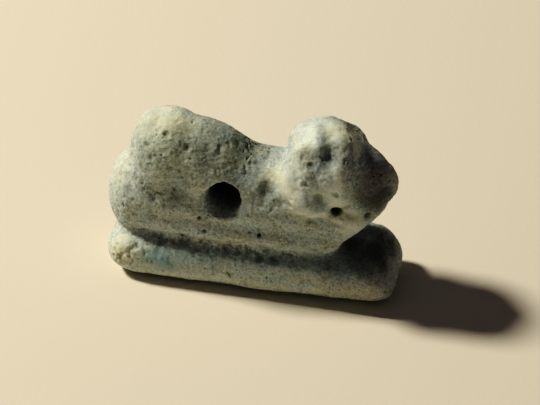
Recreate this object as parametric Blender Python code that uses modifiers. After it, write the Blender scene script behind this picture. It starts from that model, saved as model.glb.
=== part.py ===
"""Ram amulet: a recumbent ram moulded in one piece with its plinth, in worn glazed composition.

The figure faces +X and rests on the flat underside of the plinth, at z = 0. It is built as a
modeller would press it from clay: named masses and rolls are merged into one skin, the hollows
and the suspension hole are cut, wear rounds the skin off, and the underside is ground flat.
"""

import math

import bmesh
import bpy
from mathutils import Matrix, Vector

MM = 0.001

# Driving dimensions, in millimetres. The tail stands out past the plinth, so the middle of the
# whole figure lies a little behind the middle of the plinth. The plinth's top falls away over
# the last END_RUN at both ends; towards the head its lower side edges are worn up and its end
# leans back. The hole flares outward from HOLE_WAIST to a multiple of its width, and a thin
# slice is ground off the underside.
LENGTH = 19.8
TAIL_OVERHANG = 0.32
WIDTH = 6.4
BACK_HEIGHT = 12.2
HEAD_HEIGHT = 12.9
PLINTH_HEIGHT = 3.4
HOLE_WIDTH = 2.25
HOLE_HEIGHT = 2.5
TOP_EDGE_WEAR = 1.35
FOOT_EDGE_WEAR = 1.65
CORNER_WEAR = 1.7
TAIL_END_WEAR = 0.6
HEAD_END_WEAR = 1.15
FOOT_END_WEAR = 0.95
END_RUN = 2.4
FOOT_END_RUN = 9.0
HEAD_END_LEAN = 0.22
HOLE_WAIST = 2.3
MOUTH_FLARE = 1.3
GROUND_OFF = 0.1

# The skin: voxel sizes of the two merging passes, wear of the skin, and the faces that are kept.
MERGE_VOXEL = 0.20
WORN_VOXEL = 0.18
WEAR_PASSES = 7
KEPT_FACES = 0.12

HALF = WIDTH / 2
CUT_MARGIN = 0.6
SKULL = (5.0, 0.0, HEAD_HEIGHT - 3.0)
HOLE_PLACE = (-1.65, 0.0, 7.45)

# Each mass is an ellipsoid: centre, radii, and how far its +X end is tipped down, in degrees.
MASSES = {
    "rump": ((-5.85, 0.0, BACK_HEIGHT - 3.4), (2.8, 2.75, 3.4), 0.0),
    "tail": ((-7.8, 0.0, 5.45), (2.3, 2.7, 3.4), 0.0),
    "skull": (SKULL, (2.7, 3.1, 3.0), 0.0),
    "poll": ((3.9, 0.0, 11.35), (1.75, 1.7, 1.4), 0.0),
    "muzzle": ((6.3, 0.0, 9.7), (3.6, 1.9, 2.1), 31.0),
    "nose": ((8.15, 0.0, 8.75), (1.6, 1.05, 1.75), 0.0),
    "jaw": ((6.45, 0.0, 7.75), (2.65, 1.7, 1.85), 22.0),
    "chest": ((6.0, 0.0, 5.8), (2.3, 2.4, 2.3), 0.0),
}

# The torso is one roll along the spine, pressed narrower than it is tall.
TORSO_SQUEEZE = 0.79
TORSO = ([(-7.2, 0.0, 8.2), (-5.6, 0.0, 8.7), (-3.6, 0.0, 8.3), (-1.8, 0.0, 6.85),
          (0.6, 0.0, 6.55), (3.0, 0.0, 7.1), (5.0, 0.0, 6.8), (6.4, 0.0, 6.0)],
         [2.2, 3.2, 3.5, 3.5, 3.4, 3.2, 2.7, 1.9])

# Each roll runs through points with a radius at each; y is taken to both sides.
ROLLS = {
    "belly": ([(-7.8, 0.9, 6.0), (-4.0, 1.0, 6.2), (0.0, 1.0, 6.3), (3.5, 0.95, 6.3), (5.8, 0.8, 5.7)],
              [1.8, 2.0, 1.95, 1.9, 1.5]),
    "haunch": ([(-7.2, 0.95, 8.6), (-6.9, 1.1, 7.3), (-6.7, 1.1, 6.0)], [1.4, 1.65, 1.5]),
    "leg": ([(-8.3, 1.5, 4.75), (-4.0, 1.75, 4.75), (0.5, 1.75, 4.75), (4.0, 1.7, 4.7), (5.9, 1.35, 4.6)],
            [1.2, 1.2, 1.2, 1.15, 1.0]),
    "horn": ([(5.1, 0.9, 11.6), (4.1, 1.0, 11.7), (3.4, 1.3, 11.1), (3.0, 1.7, 9.9),
              (3.15, 2.1, 8.7), (4.1, 2.45, 8.2), (5.4, 2.3, 8.0)],
             [0.6, 1.0, 1.0, 1.0, 1.0, 0.9, 0.7]),
    "cheek": ([(5.9, 0.9, 11.7), (6.1, 1.65, 11.0), (6.2, 2.15, 9.9), (6.1, 2.3, 8.6)],
              [0.4, 0.65, 0.75, 0.7]),
}

# The hollow under the chin is an ellipsoid cut from the figure before it is set on the plinth.
THROAT = ((8.6, 0.0, 4.0), (2.65, 4.7, 1.95), 0.0)

# The grooves on both sides of the head, before and inside the horn's coil, are rolls cut from the skin.
GROOVES = {
    "brow_groove": ([(5.1, 1.4, 13.4), (5.45, 2.3, 12.9), (5.7, 3.1, 12.1), (5.6, 3.6, 11.2)],
                    [0.5, 0.85, 1.05, 0.85]),
    "horn_groove": ([(5.5, 3.75, 11.2), (4.95, 3.8, 10.8), (4.75, 3.9, 10.0), (4.9, 4.0, 9.3),
                     (5.4, 4.0, 8.8), (5.9, 3.9, 8.5)],
                    [0.8, 0.85, 0.85, 0.8, 0.7, 0.6]),
}


def mm(point):
    """A point or size given in millimetres, in metres."""
    return Vector(point) * MM


def new_collection(name):
    made = bpy.data.collections.new(name)
    bpy.context.scene.collection.children.link(made)
    return made


def move_to(obj, collection):
    """Puts an object in one collection only."""
    for holder in list(obj.users_collection):
        holder.objects.unlink(obj)
    collection.objects.link(obj)
    return obj


def linked(name, mesh):
    obj = bpy.data.objects.new(name, mesh)
    bpy.context.scene.collection.objects.link(obj)
    return obj


def ellipsoid(name, centre, radii, nose_down):
    """A sphere stretched to three radii, its +X end tipped down by some degrees."""
    bm = bmesh.new()
    place = Matrix.Translation(mm(centre)) @ Matrix.Rotation(math.radians(nose_down), 4, "Y")
    stretch = Matrix.Diagonal((*mm(radii), 1.0))
    bmesh.ops.create_uvsphere(bm, u_segments=48, v_segments=24, radius=1.0, matrix=place @ stretch)
    mesh = bpy.data.meshes.new(name)
    bm.to_mesh(mesh)
    bm.free()
    return linked(name, mesh)


def block(name, low, high):
    """A box between two corners."""
    bpy.ops.mesh.primitive_cube_add(size=1.0, location=(mm(low) + mm(high)) / 2)
    obj = bpy.context.object
    obj.name = name
    obj.scale = mm(high) - mm(low)
    bpy.ops.object.transform_apply(location=True, rotation=True, scale=True)
    return obj


def mesh_of(obj):
    """The object as its modifiers and curve settings leave it, as a plain closed mesh object."""
    bpy.context.view_layer.update()
    graph = bpy.context.evaluated_depsgraph_get()
    mesh = bpy.data.meshes.new_from_object(obj.evaluated_get(graph))
    bm = bmesh.new()
    bm.from_mesh(mesh)
    bmesh.ops.remove_doubles(bm, verts=bm.verts, dist=1e-6)
    bmesh.ops.recalc_face_normals(bm, faces=bm.faces)
    bm.to_mesh(mesh)
    bm.free()
    made = linked(obj.name + "_mesh", mesh)
    made.matrix_world = obj.matrix_world
    bpy.data.objects.remove(obj)
    return made


def roll(name, points, radii, side=1):
    """A roll of clay: a smooth tube along some points, with a radius at each, on one side of the figure."""
    curve = bpy.data.curves.new(name, "CURVE")
    curve.dimensions = "3D"
    curve.bevel_depth = MM
    curve.bevel_resolution = 4
    curve.use_fill_caps = True
    curve.resolution_u = 6
    spline = curve.splines.new("NURBS")
    spline.points.add(len(points) - 1)
    for knot, (x, y, z), radius in zip(spline.points, points, radii):
        knot.co = (*mm((x, side * y, z)), 1.0)
        knot.radius = radius
    spline.use_endpoint_u = True
    spline.order_u = 3
    return mesh_of(linked(name, curve))


def squeezed(obj, share):
    """An object pressed together sideways, to a share of its width."""
    obj.scale.y = share
    bpy.context.view_layer.update()
    return obj


def plinth():
    """The slab under the ram, with round corners and worn edges."""
    slab = block("plinth", (-LENGTH / 2, -HALF, -GROUND_OFF), (LENGTH / 2, HALF, PLINTH_HEIGHT))
    bm = bmesh.new()
    bm.from_mesh(slab.data)
    upright = [edge for edge in bm.edges if abs(edge.verts[0].co.z - edge.verts[1].co.z) > MM]
    bmesh.ops.bevel(bm, geom=upright, offset=CORNER_WEAR * MM, segments=8, affect="EDGES", profile=0.5)
    head_end = LENGTH / 2
    for at in (END_RUN - head_end, head_end - FOOT_END_RUN, head_end - FOOT_END_RUN / 2, head_end - END_RUN):
        everything = bm.verts[:] + bm.edges[:] + bm.faces[:]
        bmesh.ops.bisect_plane(bm, geom=everything, plane_co=mm((at, 0, 0)), plane_no=(1, 0, 0))
    for high, wear in ((False, FOOT_EDGE_WEAR), (True, TOP_EDGE_WEAR)):
        rim = [edge for edge in bm.edges if len(edge.link_faces) == 2 and edge.calc_face_angle(0.0) > 1.0
               and all((vert.co.z > MM) == high for vert in edge.verts)]
        bmesh.ops.bevel(bm, geom=rim, offset=wear * MM, segments=5, affect="EDGES", profile=0.5)
    for vert in bm.verts:
        share = vert.co.z / (PLINTH_HEIGHT * MM)
        end = HEAD_END_WEAR if vert.co.x > 0 else TAIL_END_WEAR
        past = max(abs(vert.co.x) / MM - head_end + END_RUN, 0.0) / END_RUN
        foot_past = max(vert.co.x / MM - head_end + FOOT_END_RUN, 0.0) / FOOT_END_RUN
        outward = abs(vert.co.y) / (HALF * MM)
        worn_up = FOOT_END_WEAR * foot_past * outward ** 3 * (1 - share)
        vert.co.z += (worn_up - end * past ** 2 * share) * MM
        vert.co.x -= HEAD_END_LEAN * foot_past * share * MM
    bm.to_mesh(slab.data)
    bm.free()
    return mesh_of(slab)


def hole_cutter():
    """The suspension hole through the flanks: an oval rod that widens to a worn mouth at each end."""
    end = HALF + CUT_MARGIN
    waist = HOLE_WAIST
    outline = [(0.0, end), (MOUTH_FLARE, end), (1.0, waist), (1.0, -waist), (MOUTH_FLARE, -end), (0.0, -end)]
    mesh = bpy.data.meshes.new("hole")
    corners = [(r * HOLE_WIDTH / 2, 0.0, h) for r, h in outline]
    mesh.from_pydata([mm(c) for c in corners], [(i, i + 1) for i in range(len(corners) - 1)], [])
    obj = linked("hole", mesh)
    screw = obj.modifiers.new("turn", "SCREW")
    screw.steps = 32
    screw.render_steps = 32
    screw.use_merge_vertices = True
    screw.merge_threshold = 1e-6
    screw.use_normal_calculate = True
    obj.rotation_euler = (math.radians(90), 0.0, 0.0)
    obj.scale = (1.0, HOLE_HEIGHT / HOLE_WIDTH, 1.0)
    obj.location = mm(HOLE_PLACE)
    return mesh_of(obj)


def faience():
    """Grey-green glazed composition, matt where it is worn."""
    material = bpy.data.materials.new("faience")
    material.use_nodes = True
    shader = material.node_tree.nodes["Principled BSDF"]
    shader.inputs["Base Color"].default_value = (0.26, 0.28, 0.20, 1.0)
    shader.inputs["Roughness"].default_value = 0.7
    shader.inputs["Metallic"].default_value = 0.0
    return material


def joined(name, objects):
    """Some mesh objects as one object, their shells still loose."""
    bm = bmesh.new()
    for obj in objects:
        mesh = obj.data.copy()
        mesh.transform(obj.matrix_world)
        bm.from_mesh(mesh)
        bpy.data.objects.remove(obj)
    mesh = bpy.data.meshes.new(name)
    bm.to_mesh(mesh)
    bm.free()
    return linked(name, mesh)


def skin(obj, name, voxel):
    """Merges the loose shells of an object into one skin."""
    remesh = obj.modifiers.new(name, "REMESH")
    remesh.mode = "VOXEL"
    remesh.voxel_size = voxel * MM
    remesh.use_smooth_shade = True


def cut(obj, cutter):
    """Cuts one solid out of another, and leaves the cutter as a wire guide."""
    cutter.hide_render = True
    cutter.display_type = "WIRE"
    boolean = obj.modifiers.new("cut_" + cutter.name, "BOOLEAN")
    boolean.operation = "DIFFERENCE"
    boolean.object = cutter
    cutter.parent = obj.parent
    boolean.solver = "EXACT"


def main():
    for obj in list(bpy.data.objects):
        bpy.data.objects.remove(obj)
    finished = new_collection("ram_amulet")
    cutters = new_collection("cutters")

    clay = [ellipsoid(name, *shape) for name, shape in MASSES.items()]
    clay += [roll(name, *path, side) for name, path in ROLLS.items() for side in (-1, 1)]
    clay.append(squeezed(roll("torso", *TORSO), TORSO_SQUEEZE))
    figure = joined("figure", clay)
    skin(figure, "merge", MERGE_VOXEL)
    cut(figure, move_to(ellipsoid("throat", *THROAT), cutters))

    middle = bpy.data.objects.new("middle", None)
    bpy.context.scene.collection.objects.link(middle)
    middle.location.x = TAIL_OVERHANG / 2 * MM
    ram = joined("ram_amulet", [mesh_of(figure), plinth()])
    ram.parent = middle
    ram.data.materials.append(faience())
    skin(ram, "set_on_plinth", MERGE_VOXEL)
    for name, path in GROOVES.items():
        for side in (-1, 1):
            cut(ram, move_to(roll(name, *path, side), cutters))
    cut(ram, move_to(hole_cutter(), cutters))
    skin(ram, "reskin", WORN_VOXEL)
    wear = ram.modifiers.new("wear", "SMOOTH")
    wear.factor = 0.5
    wear.iterations = WEAR_PASSES
    coarser = ram.modifiers.new("coarser", "DECIMATE")
    coarser.ratio = KEPT_FACES
    below = block("ground", (-LENGTH, -WIDTH, -WIDTH), (LENGTH, WIDTH, 0.0))
    cut(ram, move_to(below, cutters))
    move_to(ram, finished)


main()
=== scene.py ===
import math

import bmesh
import bpy
import numpy as np
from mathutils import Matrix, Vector


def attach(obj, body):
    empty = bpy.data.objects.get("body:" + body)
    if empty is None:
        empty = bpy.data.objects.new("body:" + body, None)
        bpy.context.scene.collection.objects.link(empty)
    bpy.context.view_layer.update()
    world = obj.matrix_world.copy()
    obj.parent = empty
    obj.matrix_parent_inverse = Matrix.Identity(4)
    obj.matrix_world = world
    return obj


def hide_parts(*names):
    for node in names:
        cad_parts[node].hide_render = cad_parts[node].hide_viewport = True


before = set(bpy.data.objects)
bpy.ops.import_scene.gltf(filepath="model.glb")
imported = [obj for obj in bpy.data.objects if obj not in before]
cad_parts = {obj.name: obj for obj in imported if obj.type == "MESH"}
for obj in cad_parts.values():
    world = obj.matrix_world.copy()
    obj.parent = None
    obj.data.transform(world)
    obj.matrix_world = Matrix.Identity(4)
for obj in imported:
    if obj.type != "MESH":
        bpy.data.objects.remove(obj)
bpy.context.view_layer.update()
mm = 0.001


def hashedCells(cells, seed):
    # One repeatable number from 0 to 1 for each whole-number cell: its x, y and z are multiplied by
    # large whole numbers, mixed with the seed by exclusive or, stirred twice and cut to 24 bits
    large = cells.astype(np.int64) * (73856093, 19349663, 83492791)
    stirred = large[..., 0] ^ large[..., 1] ^ large[..., 2] ^ (seed * 40503)
    stirred = ((stirred ^ (stirred >> 13)) * 1274126177) & 0x7fffffffffff
    stirred = ((stirred ^ (stirred >> 15)) * 668265263) & 0x7fffffffffff
    return ((stirred >> 11) & 0xffffff) / 0xffffff


def turned(points, seed):
    # The points tipped about x by a 3-4-5 slope, turned about z by an angle that grows with the seed
    # and moved along, so that no two noises share their grid
    turnPerSeed, movePerSeed = 0.7, 1.37
    cosine, sine = math.cos(seed * turnPerSeed), math.sin(seed * turnPerSeed)
    spin = np.array([[cosine, -sine, 0], [sine, cosine, 0], [0, 0, 1]])
    tip = np.array([[1, 0, 0], [0, 0.8, -0.6], [0, 0.6, 0.8]])
    return points @ (spin @ tip).T + seed * movePerSeed


def lumpNoise(points, size, seed):
    # Smooth noise from -1 to 1: the hashed numbers at the eight corners of each cell of this size,
    # blended by 3t^2 - 2t^3 of the part t of the cell that is passed along x, y and z
    places = turned(points, seed) / size
    cell = np.floor(places)
    part = places - cell
    part = part * part * (3 - 2 * part)
    total = np.zeros(len(points))
    for corner in np.ndindex(2, 2, 2):
        weight = np.prod(np.where(corner, part, 1 - part), axis=1)
        total += weight * hashedCells(cell + corner, seed)
    return total * 2 - 1


def strayed(points, size, far, seed):
    # The points moved by up to this far along x, y and z by noise of this size, so that what is
    # drawn round them has an uneven outline
    return points + far * np.stack([lumpNoise(points, size, seed + i) for i in range(3)], axis=1)


def poreDepth(points, cell, share, least, largest, bowl, seed):
    # Depth in mm of pits: a cell may hold one ball at a hashed place with a hashed radius r, and a
    # point at distance d from its middle sinks by bowl * r * (1 - (d / r)^2)^1.5
    places = turned(points, seed)
    middle = np.floor(places / cell)
    depth = np.zeros(len(points))
    for step in np.ndindex(3, 3, 3):
        here = middle + step - 1
        ball = np.stack([hashedCells(here, seed + i) for i in (1, 2, 3)], axis=1)
        radius = least + (largest - least) * hashedCells(here, seed + 4) ** 2
        held = hashedCells(here, seed + 5) < share
        room = np.clip(1 - ((places - (here + ball) * cell) ** 2).sum(axis=1) / radius ** 2, 0, 1)
        depth = np.maximum(depth, held * bowl * radius * room ** 1.5)
    return depth


def within(points, place, reach):
    # 1 at the place, falling as (1 - d^2)^2 to 0 at the reach along each axis
    away = (((points - place) / reach) ** 2).sum(axis=1)
    return np.clip(1 - away, 0, 1) ** 2


def beyond(points, start):
    # 0 on the near side of y = start, rising to 1 over the millimetre past it
    return np.clip(points[:, 1] - start, 0, 1)


def lineDistance(points, line):
    # Distance in mm from the nearest stretch of a line, and from the nearer of its two ends
    line = np.array(line)
    near = np.full(len(points), np.inf)
    for start, end in zip(line[:-1], line[1:]):
        along = end - start
        at = np.clip((points - start) @ along / (along @ along), 0, 1)
        near = np.minimum(near, np.linalg.norm(points - start - at[:, None] * along, axis=1))
    ends = np.minimum(np.linalg.norm(points - line[0], axis=1), np.linalg.norm(points - line[-1], axis=1))
    return near, ends


def pointsOf(mesh):
    # The mesh's points as rows of x, y and z in mm
    flat = np.empty(len(mesh.vertices) * 3, np.float32)
    mesh.vertices.foreach_get("co", flat)
    return flat.reshape(-1, 3).astype(float) / mm


def normalsOf(mesh):
    # The outward direction at each point, as rows of length 1
    flat = np.empty(len(mesh.vertices) * 3, np.float32)
    mesh.vertex_normals.foreach_get("vector", flat)
    return flat.reshape(-1, 3).astype(float)


def putPoints(mesh, points):
    # The mesh's points moved to these rows of x, y and z in mm
    mesh.vertices.foreach_set("co", (points * mm).astype(np.float32).ravel())
    mesh.update()


def putField(mesh, name, values):
    # One number kept on each point, for the material to read by its name
    field = mesh.attributes.new(name, "FLOAT", "POINT")
    field.data.foreach_set("value", values.astype(np.float32))


def withModifiers(obj):
    # The object's mesh as its modifiers leave it, in place of its own
    bpy.context.view_layer.update()
    made = bpy.data.meshes.new_from_object(obj.evaluated_get(bpy.context.evaluated_depsgraph_get()))
    obj.modifiers.clear()
    old, obj.data = obj.data, made
    bpy.data.meshes.remove(old)


# The amulet. Places, reaches and heights are in mm, in the frame of the solid: the near side, -Y, has
# each of its own marks, and the far side repeats its forms and colours more weakly
ram = {
    # fine skin
    "mergeWithin": 0.001,   # loose corners of the solid nearer than this are one
    "blowUp": 100,          # times its size, while the voxel grid wraps it
    "spacing": 0.066,       # between the points of the fine skin
    "relaxStep": 0.5, "relaxPasses": 36,    # smoothing that takes the solid's facets out
    "footDepth": 0.05,      # what lies lower than this is the ground-flat foot
    "plainFoot": 0.5,       # the relief fades out over this height above the foot
    "mostTriangles": 195000,
    # relief: size across, height, seed
    "lumps": [(2.6, 0.024, 3), (1.25, 0.022, 5), (0.62, 0.020, 8), (0.31, 0.022, 13), (0.16, 0.020, 21)],
    # how much shows on the near side; cell, share of cells with a pore, least and largest radius,
    # depth as a share of radius, seed
    "pores": [(0.0, 2.4, 0.45, 0.16, 0.30, 0.35, 31), (0.8, 1.1, 0.45, 0.07, 0.16, 0.60, 47),
              (1.0, 0.5, 0.50, 0.06, 0.12, 0.80, 59)],
    # uneven hollows where crumbs have gone: size, how rare from 0 to 1, depth, seed
    "crumbs": [(0.50, 0.25, 0.035, 101), (0.25, 0.25, 0.045, 103)],
    # how the outlines of pits, and of the patches of colour, stray: size, how far, seed
    "pitStray": (0.40, 0.13, 71), "patchStray": (1.1, 0.35, 90),
    "markStray": 0.6,       # the share of the pits' straying that the amulet's own marks take
    # the plinth's lower edge: size, height and seed of its chips, the most that they stand out as a
    # share of the height, the level where they end and the height over which they begin
    "chips": (1.5, 0.13, 83), "chipRise": 0.2, "chipTop": 1.6, "chipFoot": 0.3,
    "rubbedPores": 0.7,     # how much of the pores and crumbs is rubbed away where it is bleached
    "rubbedLumps": 0.4,     # and of the lumps, as a share of that
    "crackEnd": 0.3,        # depth of a crack at its very ends, as a share, and its gain per half width
    "pitDirt": (0.09, 0.6), "crumbDirt": (0.06, 0.35),      # depth that holds most dirt, and how much
    "patchEdge": 0.7,       # the power that widens a patch of colour: lower is fuller
    "farForms": 0.3, "farColours": 0.6,         # how strongly the far side repeats the near side
    "poresFrom": -1.0, "coloursFrom": 0.0,      # y where the far side's own pores and colours begin
    # broad forms: place, reach, height
    "forms": [
        ((3.35, -1.20, 12.25), (0.80, 1.10, 0.90), -0.10),      # dip behind the horn's boss
        ((4.85, -2.15, 11.75), (1.60, 1.20, 1.10), -0.15),      # slope under the horn
        ((3.00, -2.20, 9.80), (0.70, 1.10, 1.60), 0.10),        # swell of the neck behind the horn
        ((6.90, 1.20, 12.2), (1.50, 1.60, 1.20), -0.42),        # worn far side of the brow
        ((7.00, -0.80, 12.0), (1.00, 1.10, 0.90), 0.10),        # near side of the brow
        ((7.85, 0.30, 11.3), (1.30, 1.60, 1.00), -0.14),        # dip above the muzzle
        ((-7.20, -0.30, 11.7), (1.10, 1.40, 1.00), 0.26),       # full tail end of the rump
        ((-2.85, -2.90, 6.90), (1.40, 1.20, 1.50), -0.50),      # worn side of the hole's mouth
        ((-8.00, -2.70, 2.95), (0.80, 0.80, 0.60), 0.06),       # ridge above the crack at the plinth's end
        ((-8.70, 0.20, 9.00), (0.80, 1.60, 0.80), -0.12),       # worn top of the tail
    ],
    # forms drawn the same way along a line of places: the line, half width, height
    "folds": [
        # horn's boss
        (((4.25, -0.40, 12.75), (4.60, -1.15, 12.55), (4.80, -1.60, 12.25)), 0.75, 0.18),
        # hollow between the horn and the brow, curling back under the horn
        (((5.35, -1.20, 12.60), (5.50, -1.50, 12.42), (5.62, -1.80, 12.20), (5.55, -2.15, 11.80)),
         0.90, -0.17),
        (((5.40, -2.20, 11.75), (5.00, -2.35, 11.65), (4.60, -2.45, 11.45)), 1.20, -0.13),
        # ridge from the brow down the cheek
        (((6.40, -1.00, 12.35), (6.65, -1.75, 11.70), (6.80, -2.20, 11.00), (6.85, -2.40, 10.20),
          (6.85, -2.45, 9.20), (6.75, -2.10, 8.20)), 1.10, 0.31),
        # back edge of the horn, and the sunk curl inside it
        (((3.65, -1.85, 11.60), (3.85, -2.50, 10.70), (4.05, -2.80, 9.60), (4.10, -3.00, 8.50)),
         1.15, 0.13),
        (((4.95, -2.80, 10.60), (5.05, -2.95, 9.70), (5.15, -3.00, 8.70)), 0.95, -0.14),
        # crease under the head, the edge of the shoulder below it, and the jaw
        (((3.00, -2.60, 7.90), (4.20, -3.00, 7.85), (5.20, -2.60, 7.40)), 0.50, -0.09),
        (((2.90, -2.50, 7.50), (3.90, -2.65, 7.50), (4.80, -2.35, 7.05), (5.40, -2.25, 6.85)), 0.50, 0.09),
        (((5.60, -2.05, 7.00), (6.40, -2.05, 6.90), (7.10, -2.00, 6.65)), 0.55, 0.12),
        # flat of the belly
        (((-4.50, -2.80, 5.80), (-1.00, -2.85, 5.70), (3.00, -2.70, 5.90)), 1.30, -0.13),
        # dip between the haunch and the tail
        (((-8.30, -1.60, 9.40), (-8.10, -2.10, 8.20), (-7.90, -2.30, 7.00)), 0.60, -0.07),
    ],
    # the amulet's own pits and pores: place, reach, depth, dirt from 0 to 1
    "marks": [
        # round pore low on the cheek, pit by the chin and dent in the shoulder
        ((6.02, -1.87, 7.41), 0.42, 0.55, 0.95),
        ((8.03, -1.31, 6.86), 0.42, 0.20, 0.75),
        ((1.42, -2.15, 8.48), 0.76, 0.22, 0.66),
        # down the curl of the horn, and on the cheek
        ((4.45, -2.56, 11.3), 0.38, 0.12, 0.60),
        ((4.20, -2.85, 10.0), 0.40, 0.12, 0.55),
        ((5.02, -2.96, 8.93), 0.50, 0.13, 0.50),
        ((6.18, -2.95, 9.57), 0.28, 0.13, 0.25),
        # chips over the brow, and pores on the muzzle
        ((6.65, -0.57, 12.3), 0.18, 0.09, 0.4),
        ((7.13, 0.49, 11.9), 0.22, 0.07, 0.4),
        ((8.76, -0.84, 10.1), 0.14, 0.10, 0.7),
        ((8.21, -0.94, 10.6), 0.22, 0.06, 0.4),
        ((9.36, -0.61, 9.55), 0.12, 0.07, 0.5),
        ((9.46, -0.71, 8.50), 0.18, 0.07, 0.5),
        # pores along the belly and by the foreleg
        ((1.02, -2.84, 5.03), 0.19, 0.26, 1.0),
        ((-3.09, -2.82, 5.65), 0.17, 0.18, 0.7),
        ((-2.77, -2.88, 4.81), 0.21, 0.18, 0.85),
        ((-2.43, -2.90, 6.08), 0.16, 0.08, 0.35),
        ((5.52, -2.44, 4.54), 0.11, 0.12, 0.8),
        ((4.65, -2.40, 4.20), 0.34, 0.12, 0.5),
        # in the groove over the plinth
        ((-4.33, -2.34, 3.74), 0.22, 0.16, 0.8),
        ((-7.10, -2.50, 3.70), 0.28, 0.14, 0.8),
        ((-3.20, -2.80, 3.15), 0.26, 0.10, 0.5),
        ((1.00, -2.67, 3.05), 0.42, 0.12, 0.6),
        ((1.95, -2.63, 3.10), 0.36, 0.10, 0.5),
        # low on the haunch
        ((-4.85, -2.50, 7.75), 0.22, 0.09, 0.5),
        ((-6.40, -2.60, 7.05), 0.20, 0.10, 0.5),
        ((-7.00, -2.45, 7.80), 0.18, 0.10, 0.5),
        ((-6.31, -2.61, 6.84), 0.30, 0.09, 0.3),
        # over the haunch and on the saddle
        ((-4.10, -1.80, 10.8), 0.32, 0.11, 0.40),
        ((-5.51, -1.66, 11.5), 0.34, 0.12, 0.45),
        ((-6.76, -1.96, 10.7), 0.30, 0.10, 0.35),
        ((-6.35, -2.43, 10.1), 0.26, 0.08, 0.25),
        ((-5.03, -2.57, 9.55), 0.26, 0.08, 0.25),
        ((-1.96, -1.22, 10.8), 0.28, 0.08, 0.2),
        # in the plinth's end and side
        ((9.60, -2.45, 1.56), 0.24, 0.09, 0.45),
        ((6.17, -3.19, 2.14), 0.13, 0.07, 0.5),
        ((5.16, -2.94, 2.85), 0.18, 0.08, 0.45),
        ((1.61, -3.19, 1.94), 0.16, 0.06, 0.4),
        ((2.01, -3.15, 2.32), 0.13, 0.06, 0.5),
    ],
    # cracks and scratches: the line of places, half width, depth, dirt
    "cracks": [
        # ragged crack at the plinth's tail end
        (((-8.75, -3.02, 1.60), (-8.35, -3.06, 2.00), (-8.10, -3.07, 2.35)), 0.17, 0.08, 0.35),
        (((-8.15, -3.07, 2.15), (-7.75, -3.00, 2.50), (-7.30, -2.90, 2.85)), 0.22, 0.09, 0.40),
        (((-8.60, -3.05, 2.20), (-8.20, -3.05, 2.55)), 0.16, 0.06, 0.25),
        # cracks in the plinth's side and in its top below the chin, and scratches on the jaw and brow
        (((-1.16, -3.19, 1.92), (-1.00, -3.19, 1.70), (-0.88, -3.19, 1.45)), 0.06, 0.08, 0.7),
        (((9.20, 0.20, 2.60), (9.45, 0.50, 2.40), (9.65, 0.90, 2.10)), 0.08, 0.10, 0.7),
        (((6.25, -2.00, 7.15), (6.60, -2.02, 6.88)), 0.08, 0.05, 0.2),
        (((7.02, 0.10, 12.0), (7.15, 0.50, 11.8), (7.25, 0.85, 11.6)), 0.09, 0.08, 0.6),
    ],
    # where the glaze is darker, from dirt and, in the spots said below, painted shade: place, reach, share
    # of the plain tone that is left
    "stainsAndShade": [
        # rump and haunch
        ((-2.8, -0.4, 11.2), (2.0, 2.2, 1.4), 0.75),
        ((-3.6, -1.4, 11.2), (1.0, 0.9, 0.8), 0.78),
        # painted shade: this stain darkens the rump's top where the light falls most, evening out its
        # highlight
        ((-7.0, -1.0, 11.6), (1.3, 1.6, 1.7), 0.84),
        ((-3.0, -2.0, 10.3), (1.3, 1.1, 1.2), 0.58),
        ((-6.8, -2.2, 10.1), (1.1, 1.0, 1.3), 0.76),
        ((-4.7, -2.6, 7.6), (1.3, 1.0, 1.1), 0.74),
        ((-5.0, -2.8, 6.5), (1.0, 0.8, 0.8), 0.74),
        # saddle and shoulder
        ((-0.5, 0.0, 10.3), (2.6, 2.6, 1.8), 0.60),
        ((0.4, -1.2, 9.6), (0.9, 1.0, 0.8), 0.75),
        ((0.1, -2.0, 8.8), (1.0, 1.0, 0.8), 0.74),
        ((2.1, -1.9, 9.2), (0.8, 0.9, 0.8), 0.85),
        # flank, and a cleaner stretch of the belly
        ((0.8, -2.6, 7.6), (3.2, 1.4, 2.0), 0.88),
        ((-1.0, -2.9, 5.6), (5.0, 1.2, 1.6), 1.06),
        # hollow by the horn, the slope under it and the curl of the horn: some dirt, and painted shade in
        # the hollow where the boss shades it
        ((5.45, -1.8, 12.1), (0.90, 1.3, 1.1), 0.62),
        ((6.1, -1.5, 12.1), (1.1, 1.2, 1.3), 0.62),
        ((5.85, -2.2, 11.7), (0.9, 0.8, 0.8), 0.60),
        ((5.45, -2.5, 11.3), (0.9, 0.8, 0.6), 0.58),
        ((4.8, -2.3, 11.7), (1.1, 0.9, 0.7), 0.80),
        ((5.1, -2.8, 9.9), (0.8, 1.0, 1.8), 0.92),
        # brow and cheek, darker towards the face: partly painted shade where the face turns from the light
        ((5.9, -0.6, 12.7), (1.0, 1.0, 0.8), 0.85),
        ((7.0, -2.0, 10.9), (0.7, 0.8, 0.7), 0.84),
        ((6.6, -1.9, 7.8), (0.9, 0.9, 0.7), 0.78),
        ((7.8, -1.6, 8.5), (0.8, 1.0, 1.7), 0.74),
        # face: the top of the muzzle, its sides and its underside, darkened as painted shade of the face
        # turned from the light and under the muzzle
        ((8.2, 0.1, 11.1), (1.4, 1.6, 1.1), 0.66),
        ((8.3, -1.4, 9.3), (1.6, 1.6, 2.4), 0.51),
        ((8.4, 0.2, 9.8), (1.8, 1.8, 2.4), 0.62),
        ((8.7, -1.2, 8.2), (1.5, 1.3, 1.5), 0.40),
        ((9.1, -0.8, 7.8), (1.4, 1.3, 1.5), 0.62),
        # plinth: painted shadow of the head under the chin, darker along its side near the front, and
        # painted shade in the crease where the body meets its top at the tail end
        ((8.3, -0.8, 3.4), (2.4, 2.5, 1.2), 0.31),
        ((6.7, -0.3, 3.4), (1.0, 1.4, 0.8), 0.38),
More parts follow.
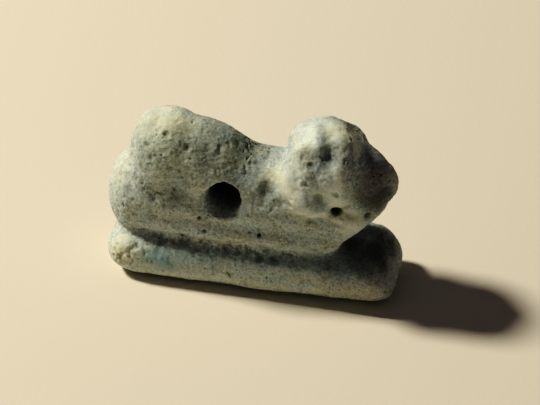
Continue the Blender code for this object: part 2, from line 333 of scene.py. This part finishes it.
        ((9.1, 0.4, 3.0), (1.5, 2.6, 1.2), 0.42),
        ((7.0, -3.0, 1.8), (3.4, 1.0, 1.6), 0.85),
        ((6.4, -3.0, 2.9), (2.2, 1.0, 0.8), 0.72),
        ((-7.3, -2.3, 3.6), (1.6, 0.8, 0.5), 0.65),
        # inside of the hole, darkened as painted shade
        ((-1.65, 0.0, 7.45), (2.6, 2.7, 2.3), 0.10),
        ((-1.65, 0.0, 7.45), (2.6, 2.3, 2.3), 0.10),
    ],
    # where wear has bleached it: place, reach, how far from 0 to 1
    "bleached": [
        ((-6.0, -0.2, 12.0), (3.2, 2.2, 1.9), 0.9),     # rump, and its side
        ((-5.0, -2.4, 10.1), (0.9, 1.0, 1.1), 0.3),
        ((-8.8, -0.8, 7.6), (1.8, 2.8, 2.6), 0.4),      # tail
        ((-8.2, -2.6, 2.7), (2.4, 1.8, 1.4), 0.45),     # tail end of the plinth
        ((4.0, -0.8, 12.4), (1.8, 2.0, 1.5), 1.0),      # horn's boss and the poll
        ((5.2, -0.2, 12.8), (1.6, 1.3, 0.9), 0.9),
        ((3.3, -2.5, 9.8), (1.2, 1.9, 2.8), 1.0),       # back of the horn, and inside its curl
        ((4.5, -2.9, 9.0), (1.1, 0.9, 1.2), 0.45),
        ((6.0, -2.8, 9.6), (1.0, 1.3, 2.2), 0.85),      # ridge of the cheek
        ((6.5, -0.3, 12.3), (1.4, 1.5, 1.0), 0.7),      # brow, and its far side
        ((6.8, 0.8, 12.1), (1.1, 1.3, 0.9), 0.95),
        ((2.0, -2.0, 9.4), (1.4, 1.6, 1.4), 0.6),       # neck
        # partly wear and partly painted light: the jaw is bleached paler also where the cheek's shadow
        # falls on it
        ((7.2, -1.9, 6.35), (1.7, 1.2, 0.8), 1.0),      # jaw
        ((6.5, -2.1, 6.95), (0.9, 0.8, 0.6), 0.8),
        ((6.9, -1.9, 6.95), (0.9, 0.8, 0.5), 0.9),
        ((3.6, -2.7, 7.6), (1.0, 0.9, 0.4), 0.7),       # edge of the shoulder
        ((5.0, -2.3, 7.05), (1.1, 0.9, 0.4), 0.7),
    ],
    # where dark specks crowd: place, reach, how far
    "grit": [
        ((-0.3, 0.3, 10.2), (2.4, 1.8, 1.2), 1.0),      # saddle
        ((-2.0, -2.2, 8.6), (3.6, 1.6, 1.8), 0.2),      # flank
        ((-5.6, -2.5, 7.0), (1.8, 1.2, 1.4), 0.5),      # haunch
        ((-1.2, -2.6, 3.5), (9.0, 1.4, 0.9), 0.5),      # groove over the plinth
    ],
    # where dark blotches crowd
    "blotch": [
        ((-1.5, -2.6, 3.6), (8.0, 1.5, 1.1), 0.60),     # groove over the plinth
        ((-5.6, -2.6, 7.2), (2.0, 1.2, 1.6), 0.35),     # haunch
        ((2.0, -2.8, 4.9), (4.0, 1.0, 0.9), 0.35),      # belly
    ],
    # where blue-green glaze is left: place, reach, strength
    "blue": [
        ((-5.80, -3.10, 2.15), (1.75, 1.1, 1.15), 1.0),     # patch on the plinth's side
        ((2.20, -2.90, 3.00), (3.6, 1.2, 0.9), 0.35),       # plinth's upper edge
        ((-3.20, -2.95, 2.75), (3.2, 0.9, 0.9), 0.35),
        ((4.0, -0.6, 12.6), (1.5, 1.5, 0.9), 0.22),         # horn's boss
        ((6.5, -2.5, 9.4), (0.6, 0.8, 0.8), 0.18),          # cheek
        ((5.9, -2.9, 9.0), (1.0, 1.0, 1.6), 0.12),
    ],
    # where the cream body is bared: place, reach, strength
    "cream": [
        ((-8.3, -2.9, 2.1), (1.7, 1.4, 1.6), 0.75),     # tail end of the plinth
        ((-3.0, -3.2, 0.9), (6.0, 0.7, 0.6), 0.5),      # plinth's lower edge
        ((4.0, -3.2, 0.9), (5.0, 0.7, 0.6), 0.5),
        ((4.4, -2.5, 7.2), (2.2, 0.9, 0.6), 0.4),       # edge of the shoulder
        ((-6.0, -0.8, 11.6), (3.2, 2.4, 2.4), 0.10),    # rump
    ],
    # where it is red-brown: place, reach, strength
    "red": [
        ((4.58, -3.10, 8.26), (0.45, 0.5, 0.30), 0.30),     # under the curl of the horn
        ((2.06, -3.13, 2.39), (0.16, 0.3, 0.10), 0.50),     # specks on the plinth's side
        ((6.95, -3.19, 2.21), (0.60, 0.5, 0.40), 0.30),
        ((8.6, -1.0, 9.6), (1.8, 2.2, 3.0), 0.24),          # face
        ((8.6, -2.4, 1.8), (1.8, 1.8, 1.8), 0.28),          # plinth's front corner and side
        ((6.2, -3.1, 1.8), (3.0, 1.0, 1.6), 0.12),
    ],
    # where the whole colour is warmer, towards olive: place, reach, strength
    "warm": [
        ((-4.8, -1.2, 10.8), (4.8, 2.8, 3.0), 0.75),    # rump
        ((-0.8, -0.6, 10.2), (2.4, 2.4, 1.6), 0.62),    # saddle
        ((-9.0, -1.0, 8.0), (1.8, 2.8, 3.0), 0.45),     # tail
        ((2.0, -1.6, 9.5), (1.8, 1.6, 1.6), 0.65),      # neck
        ((6.0, 0.0, 12.5), (1.7, 1.8, 1.2), 0.75),      # brow
        ((4.2, -2.0, 11.6), (1.3, 1.2, 1.2), 0.45),     # slope under the horn
        ((5.5, -2.0, 11.9), (0.9, 1.0, 1.0), 0.35),     # hollow by the horn
        ((6.6, -2.0, 6.8), (1.8, 1.2, 0.8), 0.25),      # jaw
        ((8.6, -0.4, 3.2), (2.6, 3.0, 1.5), 0.70),      # plinth under the chin, and its side
        ((7.8, -3.0, 1.8), (3.0, 1.2, 1.4), 0.30),
    ],
    # where the surface is crumblier: place, reach, how much more
    "rough": [
        ((-8.1, -2.7, 2.4), (1.8, 1.4, 1.5), 3.0),      # tail end of the plinth
        ((-0.3, 0.0, 10.2), (2.4, 2.4, 1.3), 1.6),      # saddle
        ((-2.0, -2.6, 3.4), (8.0, 1.2, 0.9), 1.5),      # groove over the plinth
        ((4.8, -2.8, 9.0), (1.5, 1.2, 1.6), 0.8),       # cheek
    ],
}


def spotted(points, place, reach):
    # A patch's strength: within^patchEdge, and again at its mirror place on the far side, weaker
    far = ram["farColours"] * beyond(points, ram["coloursFrom"])
    there = within(points * (1, -1, 1), place, reach) ** ram["patchEdge"]
    return np.maximum(within(points, place, reach) ** ram["patchEdge"], far * there)


def formHeight(points):
    # Height in mm of the broad forms: each one's height times how far within it the point lies, and
    # each fold's height times (1 - (d / half)^2)^2; at -Y as given, at +Y mirrored and weaker
    height = np.zeros(len(points))
    for side, share in ((1, 1.0), (-1, ram["farForms"])):
        there = points * (1, side, 1)
        for place, reach, high in ram["forms"]:
            height += share * high * within(there, place, reach)
        for line, half, high in ram["folds"]:
            near = lineDistance(there, line)[0]
            height += share * high * np.clip(1 - (near / half) ** 2, 0, 1) ** 2
    return height


def markDepth(points):
    # Depth in mm and dirt of the amulet's own marks: depth * (1 - (d / reach)^2)^1.5 inside a pit,
    # and depth * (1 - (d / half)^2) across a crack, shallower towards its ends
    depth, dirt = np.zeros(len(points)), np.zeros(len(points))
    for place, reach, deep, dirty in ram["marks"]:
        away = ((points - place) ** 2).sum(axis=1) / reach ** 2
        share = np.clip(1 - away, 0, 1) ** 1.5
        depth = np.maximum(depth, deep * share)
        dirt = np.maximum(dirt, dirty * share)
    for line, half, deep, dirty in ram["cracks"]:
        near, ends = lineDistance(points, line)
        share = np.clip(1 - (near / half) ** 2, 0, 1) * np.clip(ram["crackEnd"] * (1 + ends / half), 0, 1)
        depth = np.maximum(depth, deep * share)
        dirt = np.maximum(dirt, dirty * share)
    return depth, dirt


def patchFields(points):
    # How strongly each kind of patch lies on each point: the strongest of its spots. The tone is
    # the plain tone times what each stain, and each patch of painted shade, leaves of it
    fields = {}
    for name in ("bleached", "grit", "blotch", "blue", "cream", "red", "warm", "rough"):
        fields[name] = np.zeros(len(points))
        for place, reach, much in ram[name]:
            fields[name] = np.maximum(fields[name], much * spotted(points, place, reach))
    fields["tone"] = np.ones(len(points))
    for place, reach, share in ram["stainsAndShade"]:
        fields["tone"] *= 1 + (share - 1) * spotted(points, place, reach)
    return fields


def fineSkin(node, name):
    # A closed, even skin over the solid model: its loose triangles merged, blown up so that the
    # voxel grid may be fine, wrapped, smoothed and brought back to size
    mesh = node.data.copy()
    bm = bmesh.new()
    bm.from_mesh(mesh)
    bmesh.ops.remove_doubles(bm, verts=bm.verts, dist=ram["mergeWithin"] * mm)
    bmesh.ops.scale(bm, vec=[ram["blowUp"]] * 3, verts=bm.verts)
    bm.to_mesh(mesh)
    bm.free()
    mesh.materials.clear()
    obj = bpy.data.objects.new(name, mesh)
    bpy.context.scene.collection.objects.link(obj)
    wrap = obj.modifiers.new("wrap", "REMESH")
    wrap.mode = "VOXEL"
    wrap.voxel_size = ram["spacing"] * mm * ram["blowUp"]
    relax = obj.modifiers.new("relax", "SMOOTH")
    relax.factor = ram["relaxStep"]
    relax.iterations = ram["relaxPasses"]
    withModifiers(obj)
    putPoints(obj.data, pointsOf(obj.data) / ram["blowUp"])
    print("smooth skin:", len(obj.data.vertices), "points")
    return obj


def sunkDepth(points, smooth, crumbly):
    # Depth in mm that pores, marks and lost crumbs take from the skin, and the dirt in them: the
    # deeper of pore and mark, with the crumbs added; pores and crumbs are shallower where rubbed
    uneven = strayed(points, *ram["pitStray"])
    pores = np.zeros(len(points))
    far = beyond(points, ram["poresFrom"])
    for nearShare, *pore in ram["pores"]:
        pores = np.maximum(pores, poreDepth(uneven, *pore) * smooth * (nearShare + (1 - nearShare) * far))
    crumbs = np.zeros(len(points))
    for size, rare, depth, seed in ram["crumbs"]:
        crumbs += depth * smooth * np.clip((lumpNoise(uneven, size, seed) - rare) / (1 - rare), 0, 1)
    crumbs *= 1 + crumbly
    own, dirt = markDepth(points * (1 - ram["markStray"]) + uneven * ram["markStray"])
    for pits, (deep, most) in ((pores, ram["pitDirt"]), (crumbs, ram["crumbDirt"])):
        dirt = np.maximum(dirt, np.clip(pits / deep, 0, 1) * most)
    return np.maximum(pores, own) + crumbs, dirt


def swollenHeight(points, smooth):
    # Height in mm of the low lumps, less where it is rubbed, and of the chips in the plinth's lower edge
    height = sum(high * lumpNoise(points, size, seed) for size, high, seed in ram["lumps"])
    height *= 1 - ram["rubbedLumps"] * (1 - smooth)
    size, high, seed = ram["chips"]
    level = points[:, 2]
    low = np.clip(ram["chipTop"] - level, 0, 1) * np.clip(level / ram["chipFoot"], 0, 1)
    return height + high * low * np.minimum(lumpNoise(points, size, seed), ram["chipRise"])


def worn(obj):
    # The relief: broad forms, then low lumps, push the skin out and in along its normals, and pores
    # and marks sink it; the foot stays flat. Dirt, tone and tints are kept on the points, for the glaze
    mesh = obj.data
    points = pointsOf(mesh)
    shaped = points + normalsOf(mesh) * formHeight(points)[:, None]
    putPoints(mesh, shaped)
    fields = patchFields(strayed(points, *ram["patchStray"]))
    smooth = 1 - ram["rubbedPores"] * fields["bleached"]
    sunk, dirt = sunkDepth(points, smooth, fields.pop("rough"))
    foot = np.clip(points[:, 2] / ram["plainFoot"], 0, 1)
    placed = shaped + normalsOf(mesh) * ((swollenHeight(points, smooth) - sunk) * foot)[:, None]
    placed[:, 2] = np.where(points[:, 2] < ram["footDepth"], 0.0, np.maximum(placed[:, 2], 0.0))
    putPoints(mesh, placed)
    fields["dirt"] = dirt * foot
    for name, field in fields.items():
        putField(mesh, name, field)
    print("worn skin: deepest pit", round(float(sunk.max()), 2), "mm")


def trianglesIn(mesh):
    # Each face makes two triangles fewer than it has corners
    return len(mesh.loops) - 2 * len(mesh.polygons)


def thinned(obj):
    # Fewer triangles where the skin is flattest, down to the most that it may have
    before = trianglesIn(obj.data)
    cut = obj.modifiers.new("thin", "DECIMATE")
    cut.ratio = min(1.0, ram["mostTriangles"] / before)
    withModifiers(obj)
    print("thinned from", before, "to", trianglesIn(obj.data), "triangles")


glaze = {
    "plain": (0.51, 0.605, 0.60), "buff": (0.555, 0.60, 0.53),          # the glaze's own two colours
    "paleCool": (0.79, 0.868, 0.80), "paleWarm": (0.83, 0.866, 0.73),   # where wear has bleached it
    "fleck": (0.77, 0.70, 0.60), "dirt": (0.058, 0.055, 0.050),
    "blue": (0.31, 0.45, 0.48), "cream": (0.82, 0.82, 0.57), "red": (0.50, 0.33, 0.32),
    # the share of each colour that is left: all of it, in the warmest olive and in the darkest stain and
    # painted shade
    "whole": (1.0, 1.0, 1.0), "warmth": (1.0, 0.97, 0.79), "stainAndShadeDark": (0.0, 0.01, 0.06),
    # noises: scale per mm, detail, roughness
    "patches": (0.9, 4, 0.6), "grains": (6.0, 4, 0.85), "tooth": (7.0, 4, 0.7),
    # grades of a noise: the low and the high level, and the number that each of them gives
    "buffShare": (0.42, 0.62, 0.0, 0.8), "warmShare": (0.42, 0.60, 0.0, 1.0),
    "grainShade": (0.37, 0.63, 0.64, 1.18), "paleGrainShade": (0.36, 0.64, 0.84, 1.05),
    # specks all over: noise, grade, colour
    "specks": [((3.1, 3, 0.6), (0.56, 0.68, 0.0, 0.35), "dirt"),
               ((7.5, 2, 0.5), (0.60, 0.70, 0.0, 0.45), "dirt"),
               ((6.3, 2, 0.5), (0.59, 0.68, 0.0, 0.5), "fleck")],
    # the noise and the grade that break up a patch
    "broken": {"cream": ((2.2, 3, 0.6), (0.35, 0.6, 0.3, 1.0)),
               "grit": ((4.4, 3, 0.6), (0.50, 0.60, 0.0, 0.75)),
               "blotch": ((1.9, 4, 0.65), (0.47, 0.60, 0.0, 0.75))},
    "roughness": 0.62, "shine": 0.35,
    "toothStrength": 0.5, "toothDepth": 0.04,       # depth in mm
}


def newMaterial(name):
    # An empty material, its nodes and its shader
    material = bpy.data.materials.new(name)
    material.use_nodes = True
    tree = material.node_tree
    return material, tree, tree.nodes["Principled BSDF"]


def noiseNode(tree, places, scale, detail, rough):
    # Noise over these places, from 0 to 1
    made = tree.nodes.new("ShaderNodeTexNoise")
    for name, number in (("Scale", scale), ("Detail", detail), ("Roughness", rough)):
        made.inputs[name].default_value = number
    tree.links.new(places, made.inputs["Vector"])
    return made.outputs["Fac"]


def addTooth(tree, shader, height, strength, depth):
    # Relief too fine for the mesh, as a bump of this depth in mm
    bump = tree.nodes.new("ShaderNodeBump")
    bump.inputs["Strength"].default_value = strength
    bump.inputs["Distance"].default_value = depth * mm
    tree.links.new(height, bump.inputs["Height"])
    tree.links.new(bump.outputs["Normal"], shader.inputs["Normal"])


def wornFaience():
    # Worn glazed composition: grey-green and buff grains with dark specks, bleached and tinted where
    # the points say so, made warmer, and darker by their own tone, which holds stains and painted shade,
    # and dark with dirt in its pits
    material, tree, shader = newMaterial("wornFaience")
    where = tree.nodes.new("ShaderNodeTexCoord")
    toMm = tree.nodes.new("ShaderNodeMapping")
    toMm.inputs["Scale"].default_value = [1 / mm] * 3
    tree.links.new(where.outputs["Object"], toMm.inputs["Vector"])

    def noise(kind):
        # One of the noises above, over places in mm
        return noiseNode(tree, toMm.outputs["Vector"], *kind)

    def field(name):
        # The number that the points keep under this name
        made = tree.nodes.new("ShaderNodeAttribute")
        made.attribute_name = name
        return made.outputs["Fac"]

    def graded(value, grade):
        # The value, from the low to the high level, as a number from the first to the last
        made = tree.nodes.new("ShaderNodeMapRange")
        for name, number in zip(("From Min", "From Max", "To Min", "To Max"), grade):
            made.inputs[name].default_value = number
        tree.links.new(value, made.inputs["Value"])
        return made.outputs["Result"]

    def broken(name):
        # A field times the noise that breaks it up
        kind, grade = glaze["broken"][name]
        made = tree.nodes.new("ShaderNodeMath")
        made.operation = "MULTIPLY"
        tree.links.new(field(name), made.inputs[0])
        tree.links.new(graded(noise(kind), grade), made.inputs[1])
        return made.outputs["Value"]

    def mixed(amount, first, second):
        # From the first colour to the second; sockets 6 and 7 take the colours, and 2 gives the mix
        made = tree.nodes.new("ShaderNodeMix")
        made.data_type = "RGBA"
        tree.links.new(amount, made.inputs["Factor"])
        for colour, socket in ((first, made.inputs[6]), (second, made.inputs[7])):
            if isinstance(colour, tuple):
                socket.default_value = (*colour, 1)
            else:
                tree.links.new(colour, socket)
        return made.outputs[2]

    def vectorMath(operation, first, second, socket):
        # Two values joined by this operation, the second one through this socket
        made = tree.nodes.new("ShaderNodeVectorMath")
        made.operation = operation
        tree.links.new(first, made.inputs[0])
        tree.links.new(second, made.inputs[socket])
        return made.outputs["Vector"]

    def shaded(colour, amount):
        # The colour times a number
        return vectorMath("SCALE", colour, amount, "Scale")

    def multiplied(first, second):
        # One colour times another, channel by channel
        return vectorMath("MULTIPLY", first, second, 1)

    patches, grains = noise(glaze["patches"]), noise(glaze["grains"])
    colour = mixed(graded(patches, glaze["buffShare"]), glaze["plain"], glaze["buff"])
    colour = shaded(colour, graded(grains, glaze["grainShade"]))
    for kind, grade, tint in glaze["specks"]:
        colour = mixed(graded(noise(kind), grade), colour, glaze[tint])
    rubbed = mixed(graded(patches, glaze["warmShare"]), glaze["paleCool"], glaze["paleWarm"])
    rubbed = shaded(rubbed, graded(grains, glaze["paleGrainShade"]))
    colour = mixed(field("bleached"), colour, rubbed)
    colour = mixed(broken("cream"), colour, glaze["cream"])
    colour = mixed(field("blue"), colour, glaze["blue"])
    colour = mixed(field("red"), colour, glaze["red"])
    colour = multiplied(colour, mixed(field("warm"), glaze["whole"], glaze["warmth"]))
    # painted shade: the tone also darkens the face, the muzzle's underside, the head's shadow under the
    # chin, the hollow by the horn and the inside of the hole
    colour = multiplied(colour, mixed(field("tone"), glaze["stainAndShadeDark"], glaze["whole"]))
    for dirt in (broken("grit"), broken("blotch"), field("dirt")):
        colour = mixed(dirt, colour, glaze["dirt"])
    tree.links.new(colour, shader.inputs["Base Color"])
    shader.inputs["Roughness"].default_value = glaze["roughness"]
    shader.inputs["Specular IOR Level"].default_value = glaze["shine"]
    addTooth(tree, shader, noise(glaze["tooth"]), glaze["toothStrength"], glaze["toothDepth"])
    return material


studio = {
    "azimuth": 13.0, "elevation": 38.0,     # degrees round towards the head, and above the floor
    "distance": 300.0, "across": 36.486,    # mm from the camera, and the view's width there
    "aimRight": 1.088, "aimUp": 4.385,      # mm from the origin, square to the view
    "nearest": 0.01,                        # m; nothing nearer than this is in view
    # degrees towards the far side from the tail, and above the floor
    "lightTurn": 19.5, "lightHeight": 46.0,
    "lightAway": 400.0, "lightAcross": 62.0, "lightPower": 1.82,        # mm, mm, W
    "lightColour": (1.0, 0.925, 0.76),
    "fill": 0.09, "fillColour": (1.05, 0.966, 1.026),
    "paper": (0.80, 0.745, 0.635), "paperRoughness": 0.9, "paperAcross": 800,
    "paperTooth": (2600, 3, 0.5),           # noise: scale per m, detail, roughness
    "paperToothStrength": 0.25, "paperToothDepth": 0.04,
    # the picture's tones: how light leaves what enters, with deep, soft darks
    "tones": [(0.0, 0.0), (0.03, 0.006), (0.06, 0.018), (0.1, 0.047), (0.15, 0.1), (0.2, 0.157),
              (0.4, 0.385), (0.7, 0.70), (1.0, 1.0)],
}


def viewAxes():
    # Forward, right and up of the view, from azimuth degrees round from -Y to +X and elevation up
    turn, tilt = math.radians(studio["azimuth"]), math.radians(studio["elevation"])
    forward = Vector((-math.sin(turn) * math.cos(tilt), math.cos(turn) * math.cos(tilt), -math.sin(tilt)))
    right = Vector((math.cos(turn), math.sin(turn), 0))
    return forward, right, right.cross(forward)


def makeCamera():
    # The camera stands back from its aim along the view, with a lens that sees the width asked for
    forward, right, up = viewAxes()
    aim = (right * studio["aimRight"] + up * studio["aimUp"]) * mm
    lens = bpy.data.cameras.new("tableCamera")
    lens.lens = lens.sensor_width * studio["distance"] / studio["across"]
    lens.clip_start = studio["nearest"]
    camera = bpy.data.objects.new("tableCamera", lens)
    camera.location = aim - forward * studio["distance"] * mm
    camera.rotation_euler = forward.to_track_quat("-Z", "Y").to_euler()
    bpy.context.scene.collection.objects.link(camera)
    bpy.context.scene.camera = camera


def paperFloor():
    # A plain pale sheet under the amulet, level with its foot, with a faint tooth
    bpy.ops.mesh.primitive_plane_add(size=studio["paperAcross"] * mm, location=(0, 0, 0))
    floor = bpy.context.object
    floor.name = "paperFloor"
    paper, tree, shader = newMaterial("palePaper")
    shader.inputs["Base Color"].default_value = (*studio["paper"], 1)
    shader.inputs["Roughness"].default_value = studio["paperRoughness"]
    where = tree.nodes.new("ShaderNodeTexCoord")
    tooth = noiseNode(tree, where.outputs["Object"], *studio["paperTooth"])
    addTooth(tree, shader, tooth, studio["paperToothStrength"], studio["paperToothDepth"])
    floor.data.materials.append(paper)


def studioLight():
    # One soft round light, high on the tail's side and a little behind, and a dim, even fill
    right = viewAxes()[1]
    back = Vector((0, 0, 1)).cross(right)
    turn, height = math.radians(studio["lightTurn"]), math.radians(studio["lightHeight"])
    towards = (back * math.sin(turn) - right * math.cos(turn)) * math.cos(height)
    towards.z = math.sin(height)
    lamp = bpy.data.lights.new("windowLight", "AREA")
    lamp.shape = "DISK"
    lamp.size = studio["lightAcross"] * mm
    lamp.energy = studio["lightPower"]
    lamp.color = studio["lightColour"]
    light = bpy.data.objects.new("windowLight", lamp)
    light.location = towards * studio["lightAway"] * mm
    light.rotation_euler = (-towards).to_track_quat("-Z", "Y").to_euler()
    bpy.context.scene.collection.objects.link(light)
    world = bpy.data.worlds.new("softFill")
    world.use_nodes = True
    sky = world.node_tree.nodes["Background"]
    sky.inputs["Color"].default_value = (*studio["fillColour"], 1)
    sky.inputs["Strength"].default_value = studio["fill"]
    bpy.context.scene.world = world


def pictureTones():
    # The curve from the light that enters to the light that the picture shows; curve 3 is for all
    # three colours together
    view = bpy.context.scene.view_settings
    view.view_transform = "Standard"
    view.use_curve_mapping = True
    curve = view.curve_mapping.curves[3]
    tones = studio["tones"]
    curve.points[0].location, curve.points[1].location = tones[0], tones[-1]
    for tone in tones[1:-1]:
        curve.points.new(*tone)
    view.curve_mapping.update()


makeCamera()
paperFloor()
studioLight()
pictureTones()
print("studio ready")

amulet = fineSkin(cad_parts["ram_amulet"], "amuletSkin")
worn(amulet)
thinned(amulet)
amulet.data.shade_smooth()
amulet.data.materials.append(wornFaience())
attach(amulet, "root")
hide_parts("ram_amulet")
print("amulet dressed")
